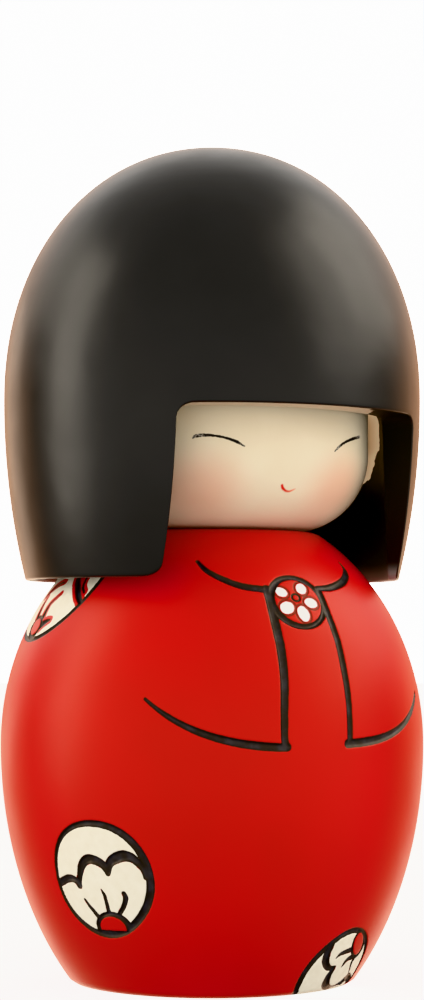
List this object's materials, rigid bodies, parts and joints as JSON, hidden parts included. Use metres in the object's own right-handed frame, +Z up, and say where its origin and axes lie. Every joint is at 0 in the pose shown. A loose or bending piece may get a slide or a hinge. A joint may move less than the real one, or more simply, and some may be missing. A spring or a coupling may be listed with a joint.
{
  "type": "kokeshi doll",
  "caption": "Turned wooden doll with a barrel body, a round face drum and a helmet-shaped bell of hair with a face window; the head turns on a peg.",
  "frame": {"origin": "centre of the foot, on the surface the doll stands on", "axes": "+Z up along the turning axis, -Y the way the face looks, +X the doll's left hand side"},
  "size_m": [0.075, 0.075, 0.148],
  "materials": {
    "red_lacquer": "crimson lacquer on turned wood, satin, with engraved black lines and white flowers",
    "bare_wood": "bare hardwood, sanded",
    "face_paint": "cream paint on turned wood, matt, with fine brushed eyes and mouth",
    "hair_lacquer": "black lacquer on turned wood, satin"
  },
  "bodies": {
    "body": {"body": "red_lacquer", "neck_peg": "bare_wood"},
    "head": {"face_block": "face_paint", "crown_peg": "bare_wood", "hair_bell": "hair_lacquer"}
  },
  "joints": [
    {"name": "head_turn", "type": "hinge", "parent": "body", "child": "head", "pos_m": [0, 0, 0.079], "axis": [0, 0, 1], "continuous": true}
  ]
}
